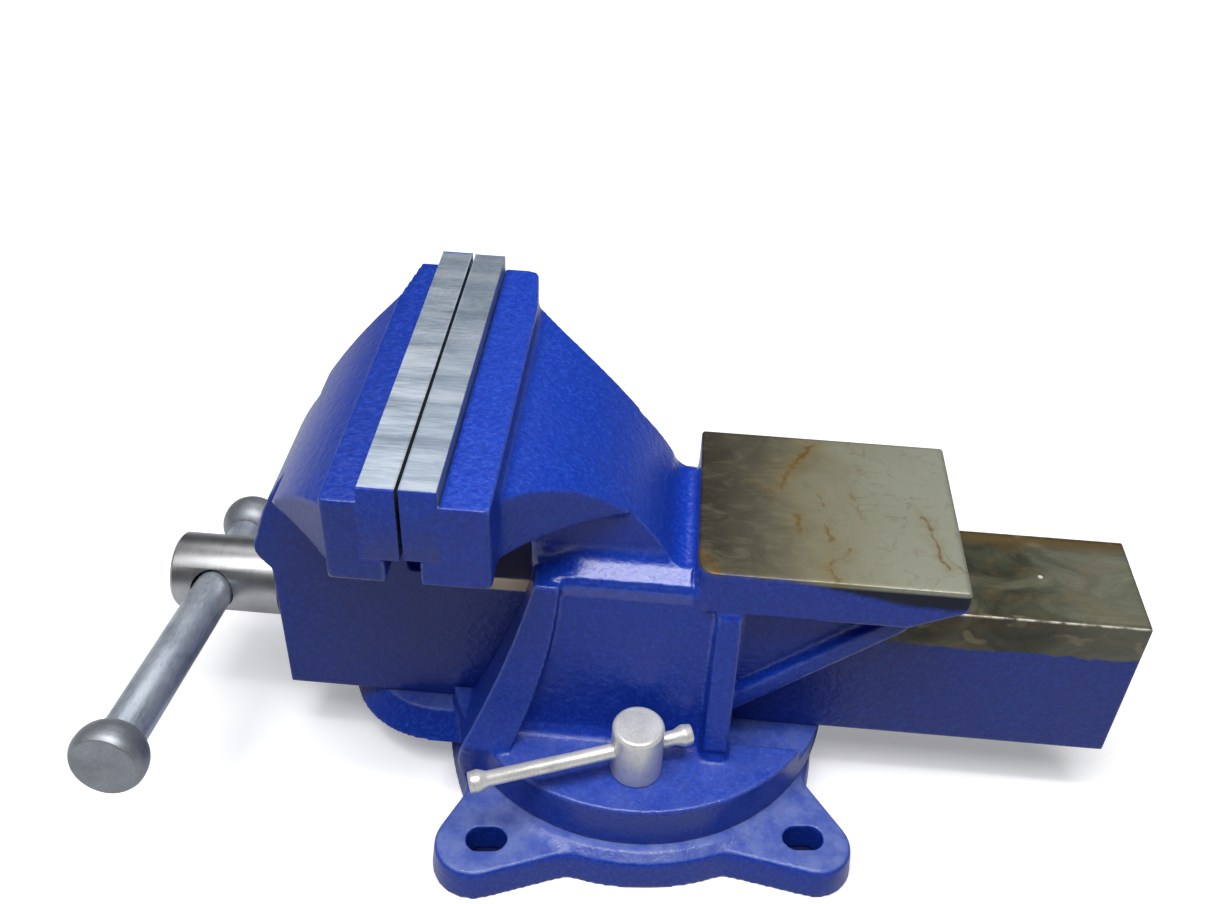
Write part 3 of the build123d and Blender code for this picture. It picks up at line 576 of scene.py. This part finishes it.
def bare_slide(s):
    """The machined top of the slide and the strip of its sides that runs in the head."""
    ragged = s.math("MULTIPLY_ADD", s.noise(9, 4, 0.6), 6.0, -3.0)
    out = s.math("ABSOLUTE", s.y)
    side = s.step(out, 22.4, 23.0)
    on_top = s.step(s.z, 100, 101)

    # The strip's lower edge steps down where the slide has not run in the head.
    foot = s.step(s.x, -38, -4, 95.2, 83.8)
    over = s.math("MULTIPLY_ADD", ragged, s.step(s.x, -38, -4, 0.4, 1.0), s.z)
    strip = s.product(side, s.step(s.math("SUBTRACT", over, foot), -0.6, 0.6))
    mask = s.math("MAXIMUM", s.step(s.z, 99.0, 99.8), strip)
    mask = s.product(mask, s.step(s.x, -63.5, -62.5), s.step(s.z, 103, 102.5))

    # Oily grey-green clouds, brown patches, a paler end and a browner far edge.
    cloud = s.noise(22, 5, 0.62, 1.0, s.stretch((0.7, 1.2, 1), turn=(0, 0, -0.3)))
    colour = s.ramp(
        cloud,
        (0.34, (56, 58, 47)), (0.47, (78, 80, 65)), (0.58, (102, 103, 86)), (0.72, (132, 132, 115)),
    )
    brown = s.product(s.step(s.noise(15, 4, 0.6, 0.5), 0.46, 0.62), 0.36)
    colour = s.mix(brown, colour, (112, 90, 56))
    colour = s.mix(s.step(s.x, 140, 190, 0, 0.4), colour, (146, 148, 130))
    colour = s.mix(s.product(s.step(s.y, 13, 24), on_top), colour, (104, 84, 50))
    # A painted shade: a greyish purple band on the top beside the anvil's end.
    stain_and_shade = s.product(s.step(s.x, 124.4, 123), s.step(s.x, 96, 112), on_top, 0.7)
    colour = s.mix(stain_and_shade, colour, (98, 96, 120))

    # One painted glint: a small pale spot on the top.
    from_glint = s.math("POWER", s.math("SUBTRACT", s.x, 156), 2)
    from_glint = s.math("SQRT", s.math("ADD", from_glint, s.math("POWER", s.y, 2)))
    colour = s.mix(s.step(from_glint, 1.3, 0.5, 0, 0.9), colour, (235, 235, 225))

    # The sides are darker with pale blobs, and the front, which the head never wears, is tan.
    colour = s.mix(s.product(side, 0.35), colour, (62, 58, 54))
    blobs = s.noise(7, 2, 0.4, 0.6, s.stretch((0.8, 1, 1)))
    colour = s.mix(s.product(s.step(blobs, 0.58, 0.68), side, 0.4), colour, (150, 138, 108))
    worked = s.math("ADD", s.x, s.product(ragged, 4))
    colour = s.mix(s.step(worked, 10, -42, 0, 0.9), colour, (196, 176, 150))
    edge = s.product(s.step(out, 23.9, 24.5), s.step(s.z, 101.0, 101.4))
    colour = s.mix(s.product(edge, s.step(s.noise(6, 3), 0.35, 0.6)), colour, (196, 192, 178))
    return mask, colour, s.noise(1.1, 3, 0.6, 0.0, s.stretch((0.1, 1, 1)))


def steel(name, colours, rough, brushed=(1, 1, 1), grain=0.8, stain_and_shade=None, metal=1.0, relief=0.02):
    """Bare steel in three colours: fine lines where brushed stretches the noise, and soft clouds."""
    s = Shade(name)
    lines = s.noise(grain, 3, 0.6, 0.0, s.stretch(brushed))
    cloud = s.noise(14, 4, 0.6, 0.4)
    value = s.math("MULTIPLY_ADD", lines, 0.4, s.product(cloud, 0.6))
    colour = s.ramp(value, *zip((0.36, 0.5, 0.66), colours))
    if stain_and_shade:
        spots = s.step(s.noise(5, 5, 0.7, 0.5), 0.58, 0.72, 0, 0.6)
        colour = s.mix(spots, colour, stain_and_shade)
    s.bsdf.inputs["Metallic"].default_value = metal
    s.set(Base_Color=colour, Roughness=s.step(lines, 0.3, 0.7, *rough))
    s.bump((lines, 0.3, relief))
    return s.material


def bare_plate(s):
    """Hardened jaw plates: silver with soft bands across them, duller at the far end, with painted
    ends."""
    lines = s.noise(0.7, 3, 0.6, 0.0, s.stretch((0.08, 1, 0.5)))
    bands = s.noise(9, 3, 0.6, 0.2, s.stretch((0.12, 1, 0.2)))
    bands = s.math("MULTIPLY_ADD", s.math("SUBTRACT", bands, 0.5), s.step(s.z, 184.4, 185.6), 0.5)
    colour = s.ramp(
        s.math("MULTIPLY_ADD", lines, 0.35, s.product(bands, 0.65)),
        (0.36, (126, 138, 152)), (0.5, (170, 181, 194)), (0.62, (200, 208, 217)),
    )
    # The fixed plate is more blotched and a little darker than the moving one.
    blotch = s.product(s.step(s.noise(16, 2, 0.5, 0.3), 0.48, 0.66), s.step(s.x, -80, -78, 0.1, 0.6))
    colour = s.mix(blotch, colour, (122, 136, 150))
    colour = s.mix(s.step(s.x, -80, -79.6, 0, 0.3), colour, (126, 140, 156))
    colour = s.mix(s.step(s.y, 15, 75, 0, 0.4), colour, (132, 148, 164))
    # Painted shade: the top of the gripping faces is darker where the two plates meet.
    from_grip = s.math("ABSOLUTE", s.math("SUBTRACT", s.x, GRIP_X))
    gap_shade = s.product(s.step(from_grip, 1.5, 1.0), s.step(s.z, 185.9, 185.5), 0.6)
    colour = s.mix(gap_shade, colour, (74, 80, 88))
    ragged = s.math("MULTIPLY_ADD", s.noise(2.5, 3, 0.6), 0.5, -0.25)
    mask = s.step(s.math("ADD", s.math("ABSOLUTE", s.y), ragged), 75.6, 75.4)
    return mask, colour, lines


blue_fixed = enamel("enamel_fixed", bare=bare_anvil)
blue_moving = enamel("enamel_moving", bare=bare_slide, shade=0.76)
blue_base = enamel("enamel_base", turned=False)
plates = enamel("plate_steel", bare=bare_plate)
turned_bright = steel(
    "turned_bright", ((160, 159, 159), (170, 170, 171), (181, 182, 184)), (0.33, 0.39),
    brushed=(1, 0.08, 0.08), grain=0.6, relief=0.0008,
)
bar_steel = steel(
    "bar_steel", ((150, 159, 171), (178, 187, 198), (198, 206, 215)), (0.34, 0.44),
    brushed=(1, 0.1, 1), grain=0.7, stain_and_shade=(128, 132, 139), metal=0.62,
)
knob_steel = steel(
    "knob_steel", ((126, 130, 136), (142, 146, 152), (158, 162, 169)), (0.42, 0.5),
    grain=0.9, metal=0.7,
)
zinc = steel(
    "zinc_steel", ((206, 205, 200), (227, 226, 221), (241, 240, 236)), (0.28, 0.4),
    brushed=(1, 1, 0.3), metal=0.4,
)
black_oxide = steel("black_oxide", ((34, 34, 36), (48, 48, 52), (70, 70, 76)), (0.35, 0.5))
iron = steel(
    "grey_iron", ((70, 70, 72), (92, 92, 94), (116, 116, 116)), (0.45, 0.6),
    stain_and_shade=(92, 70, 50), metal=0.8, relief=0.08,
)


# ---- Castings and plain pieces -----------------------------------------------------------
WASHER_INSET = 0.04     # room for the lead screw's head, which turns against the washer

cast_skin("fixed_jaw_body", "head", True, fill_fixed, blue_fixed, shape_fixed)
cast_skin("moving_jaw", "moving_jaw", True, fill_moving, blue_moving)
cast_skin("swivel_base", "base", False, fill_base, blue_base)

for node, body, slot, material, bevel in (
    ("pivot_pin", "base", "turned_steel", turned_bright, 0),
    ("fixed_plate_screws", "head", "black_steel", black_oxide, 0.3),
    ("lead_nut", "head", "grey_iron", iron, 0.5),
    ("lead_nut_bolts", "head", "black_steel", black_oxide, 0.4),
    ("lock_nut_near", "head", "grey_iron", iron, 0.4),
    ("lock_nut_far", "head", "grey_iron", iron, 0.4),
    ("moving_plate_screws", "moving_jaw", "black_steel", black_oxide, 0.3),
    ("thrust_washer", "moving_jaw", "turned_steel", turned_bright, 0.3),
    ("screw_spring", "moving_jaw", "black_steel", black_oxide, 0),
    ("retaining_collar", "lead_screw", "black_steel", black_oxide, 0.5),
    ("collar_pin", "lead_screw", "black_steel", black_oxide, 0.3),
    ("tommy_bar", "tommy_bar", "dark_steel", bar_steel, 0.3),
    ("tommy_knob_near", "tommy_bar", "dark_steel", knob_steel, 0),
    ("tommy_knob_far", "tommy_bar", "dark_steel", knob_steel, 0),
    ("lock_bolt_near", "lock_bolt_near", "zinc_steel", zinc, 0.4),
    ("lock_bolt_far", "lock_bolt_far", "zinc_steel", zinc, 0.4),
    ("lock_bar_near", "lock_bar_near", "zinc_steel", zinc, 0.3),
    ("lock_bar_far", "lock_bar_far", "zinc_steel", zinc, 0.3),
):
    dress(node, body, material, bevel, WASHER_INSET if node == "thrust_washer" else 0)


# ---- Serrated jaw plates -----------------------------------------------------------------
TOOTH = 1.25        # half the width of a tooth
TOOTH_DEPTH = 0.5
RIM = 0.6           # how far the sheet of teeth runs back round its edges
BORE_Y = 45.0       # screw holes in a plate
BORE_Z = 171.0
BORE_R = 7.0
PLATE_THICK = 12.25
LIP_BACK = 6.4      # from the gripping face back to the casting's lip under the plate


def on_bore(y, z):
    """A point near the edge of a screw hole, moved on to it."""
    for side in (-1, 1):
        reach = math.hypot(y - side * BORE_Y, z - BORE_Z)
        if abs(reach - BORE_R) < 0.6 * TOOTH:
            y = side * BORE_Y + (y - side * BORE_Y) * BORE_R / reach
            z = BORE_Z + (z - BORE_Z) * BORE_R / reach
    return y, z


def in_bore(point):
    reaches = [math.hypot(point.y - side * BORE_Y, point.z - BORE_Z) for side in (-1, 1)]
    return min(reaches) < BORE_R - 0.3


def serrated_face(low, high, face_x, outward):
    """A sheet of diamond teeth over the gripping face, with a rim that runs back into the plate."""
    columns = round((high.y - low.y) / TOOTH)
    rows = round((high.z - low.z) / TOOTH)
    bm = bmesh.new()
    grid = []
    for i in range(columns + 1):
        line = []
        for j in range(rows + 1):
            y, z = on_bore(
                low.y + (high.y - low.y) * i / columns,
                low.z + (high.z - low.z) * j / rows,
            )
            inner = 0 < i < columns and 0 < j < rows
            x = face_x + outward * TOOTH_DEPTH * ((i + j) % 2) * inner
            line.append(bm.verts.new((x * MM, y * MM, z * MM)))
        grid.append(line)
    for i in range(columns):
        for j in range(rows):
            a, b, c, d = grid[i][j], grid[i + 1][j], grid[i + 1][j + 1], grid[i][j + 1]
            if in_bore((a.co + c.co) / 2 / MM):
                continue
            halves = ((a, b, c), (a, c, d)) if (i + j) % 2 else ((a, b, d), (b, c, d))
            for half in halves:
                bm.faces.new(half)
    bmesh.ops.delete(bm, geom=[v for v in bm.verts if not v.link_faces], context="VERTS")
    open_edges = [e for e in bm.edges if e.is_boundary]
    for item in bmesh.ops.extrude_edge_only(bm, edges=open_edges)["geom"]:
        if isinstance(item, bmesh.types.BMVert):
            item.co.x = (face_x + outward * RIM) * MM
    bmesh.ops.recalc_face_normals(bm, faces=bm.faces)
    return bm


def seam_paint(bm, face_x, outward, end_y, foot):
    """Paint that fills the seam round each end of a plate, flush with the casting's end."""
    seat = face_x + outward * PLATE_THICK
    lip = face_x + outward * LIP_BACK
    inside, behind = seat - outward * 2, seat + outward * 1.2
    seam_top = 179.4
    outline = (
        (lip, foot + 2), (inside, foot + 2), (inside, seam_top),
        (behind, seam_top), (behind, foot - 1.2), (lip, foot - 1.2),
    )
    for side in (-1, 1):
        rings = [
            [bm.verts.new((x * MM, side * y * MM, z * MM)) for x, z in outline]
            for y in (end_y - 2, end_y - 0.03)
        ]
        faces = [bm.faces.new(ring) for ring in rings]
        inner, outer = rings
        for i in range(len(outline)):
            after = (i + 1) % len(outline)
            faces.append(bm.faces.new((inner[i], inner[after], outer[after], outer[i])))
        bmesh.ops.recalc_face_normals(bm, faces=faces)


def jaw_plate(name, body, outward, proud):
    """A hardened plate: the CAD plate behind a sheet of teeth. outward points to its casting, and
    the painted ends stand proud of the CAD plate's, flush with the casting."""
    bm = welded(name)
    bm.transform(TO_HEAD)
    xs, ys, zs = ([v.co[axis] / MM for v in bm.verts] for axis in range(3))
    face_x = min(xs) if outward > 0 else max(xs)
    for vert in bm.verts:
        if abs(abs(vert.co.y / MM) - max(ys)) < 0.01:
            vert.co.y += math.copysign(proud * MM, vert.co.y)
    low = Vector((0, min(ys) - proud, min(zs)))
    high = Vector((0, max(ys) + proud, max(zs)))
    join_flat(bm)
    whole = rounded(to_mesh(bm, name), 0.25)
    back = bmesh.new()
    back.from_mesh(whole)
    cut_off(back, face_x + outward * RIM, -outward)
    plate = serrated_face(low, high, face_x, outward)
    plate.from_mesh(to_mesh(back, name))
    seam_paint(plate, face_x, outward, high.y, low.z)
    plate.transform(TO_ROW)
    mesh = to_mesh(plate, name)
    mesh.shade_smooth()
    mesh.set_sharp_from_angle(angle=math.radians(28))
    new_piece(name + "_serrated", mesh, body, plates, [name])


jaw_plate("fixed_jaw_plate", "head", 1, 1.0)
jaw_plate("moving_jaw_plate", "moving_jaw", -1, 1.5)


# ---- Threaded lead screw -----------------------------------------------------------------
THREAD_X = (-104.5, 180.0)
PITCH = 5.0
CREST_R = 12.0
ROOT_R = 9.5
TURN_SIDES = 56
# Along one pitch: how far, and at which radius.
THREAD_FORM = (
    (0.0, CREST_R), (0.30, CREST_R), (0.36, CREST_R - 0.25),
    (0.52, ROOT_R), (0.82, ROOT_R), (0.96, CREST_R - 0.25),
)


def thread_tube():
    """A right-hand trapezoidal thread between the two ends of THREAD_X."""
    bm = bmesh.new()
    turns = round((THREAD_X[1] - THREAD_X[0]) / PITCH) + 2
    rows = turns * len(THREAD_FORM)
    grid = []
    for row in range(rows + 1):
        turn, part = divmod(row, len(THREAD_FORM))
        share, radius = THREAD_FORM[part]
        line = []
        for step in range(TURN_SIDES + 1):
            angle = 2 * math.pi * step / TURN_SIDES
            x = THREAD_X[0] + PITCH * (turn - 1.5 + share + step / TURN_SIDES)
            taper = min(radius, ROOT_R + max(0.0, THREAD_X[1] - x) * 1.2)
            x = min(max(x, THREAD_X[0]), THREAD_X[1])
            y, z = taper * math.cos(angle), SCREW_Z + taper * math.sin(angle)
            line.append(bm.verts.new((x * MM, y * MM, z * MM)))
        grid.append(line)
    for row in range(rows):
        this, after = grid[row], grid[row + 1]
        for step in range(TURN_SIDES):
            bm.faces.new((this[step], this[step + 1], after[step + 1], after[step]))
    bmesh.ops.remove_doubles(bm, verts=bm.verts, dist=1e-6)
    bmesh.ops.dissolve_degenerate(bm, dist=1e-6, edges=bm.edges)
    ends = [f for f in bm.faces if len({round(v.co.x / MM, 3) for v in f.verts}) == 1]
    bmesh.ops.delete(bm, geom=ends, context="FACES")
    bmesh.ops.holes_fill(bm, edges=[e for e in bm.edges if e.is_boundary], sides=0)
    bmesh.ops.recalc_face_normals(bm, faces=bm.faces)
    return bm


def lead_screw():
    """The lead screw: the CAD node's head and collar seat, with a thread for its shank."""
    bm = welded("lead_screw")
    bm.transform(TO_HEAD)
    cut_off(bm, THREAD_X[0] + 1, 1)
    join_flat(bm)
    head = rounded(to_mesh(bm, "screw_head"), 0.5, 3)
    screw = thread_tube()
    screw.from_mesh(head)
    screw.transform(TO_ROW)
    mesh = to_mesh(screw, "lead_screw")
    mesh.shade_smooth()
    mesh.set_sharp_from_angle(angle=SHARP)
    new_piece("lead_screw_threaded", mesh, "lead_screw", turned_bright, ["lead_screw"])


lead_screw()


# ---- Stage, light and camera -------------------------------------------------------------
FLOOR_BOUNCE = (140, 142, 150)      # what the light that the floor sends back sees of it
BACKDROP_TOP = (120, 122, 128)      # the backdrop darkens upward
# Radius and height of each ring of the floor and the backdrop, in metres.
FLOOR_RINGS = ((0.4, 0.0), (1.0, 0.0), (2.2, 0.0), (2.7, 0.08), (2.95, 0.3), (3.05, 0.8), (3.05, 2.2))
FLOOR_SIDES = 64


def floor_mesh():
    """A floor that curves up into a backdrop far from the object."""
    bm = bmesh.new()
    centre = bm.verts.new((0, 0, 0))
    angles = [2 * math.pi * i / FLOOR_SIDES for i in range(FLOOR_SIDES)]
    previous = None
    for radius, height in FLOOR_RINGS:
        ring = [bm.verts.new((radius * math.cos(a), radius * math.sin(a), height)) for a in angles]
        for i in range(FLOOR_SIDES):
            after = (i + 1) % FLOOR_SIDES
            inner = (previous[i], previous[after]) if previous else (centre,)
            bm.faces.new((inner[0], ring[i], ring[after], *inner[1:]))
        previous = ring
    mesh = to_mesh(bm, "floor")
    mesh.shade_smooth()
    return mesh


def floor_material():
    """White paper under the object. It glows a little for the camera only, more further away, so
    that it stays white where the lamps fall off and keeps the object's shadow."""
    s = Shade("floor_white", False)
    path = s.node("ShaderNodeLightPath").outputs
    seen = s.math("MAXIMUM", path["Is Camera Ray"], path["Is Glossy Ray"])
    seen = s.math("MAXIMUM", seen, path["Is Transmission Ray"])
    paper = s.noise(900, 2, 0.5)
    white = s.ramp(paper, (0.3, (246, 246, 248)), (0.7, (252, 252, 253)))
    white = s.mix(path["Is Camera Ray"], (224, 225, 228), white)
    high = s.step(s.z, 700, 1500)
    paint = s.mix(high, s.mix(seen, FLOOR_BOUNCE, white), BACKDROP_TOP)

    # Under the slots of the lugs the floor is painted dark blue and does not glow: a painted shadow.
    off_x = s.math("ABSOLUTE", s.math("SUBTRACT", s.math("ABSOLUTE", s.x), LUG_X))
    off_y = s.math("ABSOLUTE", s.math("SUBTRACT", s.math("ABSOLUTE", s.y), LUG_Y))
    under = s.product(s.step(off_x, 15, 12), s.step(off_y, 10, 8))
    open_floor = s.product(s.math("SUBTRACT", 1.0, high), s.math("SUBTRACT", 1.0, under))
    away = s.math("SQRT", s.math("MULTIPLY_ADD", s.x, s.x, s.product(s.y, s.y)))
    glow = s.product(s.step(away, 500, 1100, 0.3, 0.6), open_floor, path["Is Camera Ray"])

    s.bsdf.inputs["Roughness"].default_value = 0.9
    s.bsdf.inputs["Specular IOR Level"].default_value = 0.0
    s.bsdf.inputs["Emission Color"].default_value = (1, 1, 1, 1)
    s.set(Base_Color=s.mix(under, paint, (26, 32, 70)), Emission_Strength=glow)
    return s.material


def stage_floor():
    obj = bpy.data.objects.new("floor", floor_mesh())
    bpy.context.scene.collection.objects.link(obj)
    obj.data.materials.append(floor_material())


def area_lamp(name, place, aim, size, power):
    """A soft rectangular lamp at a place, turned to its aim: metres and watts."""
    lamp = bpy.data.lights.new(name, "AREA")
    lamp.shape = "RECTANGLE"
    lamp.size, lamp.size_y = size
    lamp.energy = power
    obj = bpy.data.objects.new(name, lamp)
    obj.location = place
    obj.rotation_euler = (Vector(aim) - Vector(place)).to_track_quat("-Z", "Y").to_euler()
    bpy.context.scene.collection.objects.link(obj)


def plain_world(colour, strength):
    world = bpy.data.worlds.new("world")
    world.use_nodes = True
    sky = world.node_tree.nodes["Background"].inputs
    sky["Color"].default_value = colour
    sky["Strength"].default_value = strength
    bpy.context.scene.world = world


def view_camera(place, degrees, lens):
    """The camera, in metres, with its turn about X, Y and Z."""
    camera = bpy.data.cameras.new("camera")
    camera.sensor_width = 36
    camera.lens = lens
    camera.clip_start = 0.02
    obj = bpy.data.objects.new("camera", camera)
    obj.location = place
    obj.rotation_euler = [math.radians(a) for a in degrees]
    bpy.context.scene.collection.objects.link(obj)
    bpy.context.scene.camera = obj


stage_floor()
area_lamp("overhead", (-0.06, -0.40, 1.5), (0.0, 0.0, 0.1), (1.0, 0.95), 15.5)
area_lamp("overhead_left", (-0.85, -0.38, 1.36), (-0.15, 0.0, 0.05), (0.5, 0.95), 3.0)
area_lamp("strip", (-0.05, -0.33, 1.45), (0.0, 0.0, 0.1), (1.0, 0.12), 7.0)
area_lamp("back", (0.0, 0.85, 1.45), (0.02, 0.0, 0.05), (1.5, 0.5), 5)
plain_world((0.9, 0.95, 1.0, 1), 0.14)
view_camera((-0.03781, -0.37001, 0.44164), (51.722, -1.817, -1.442), 37.34)
bpy.context.scene.view_settings.view_transform = "Standard"
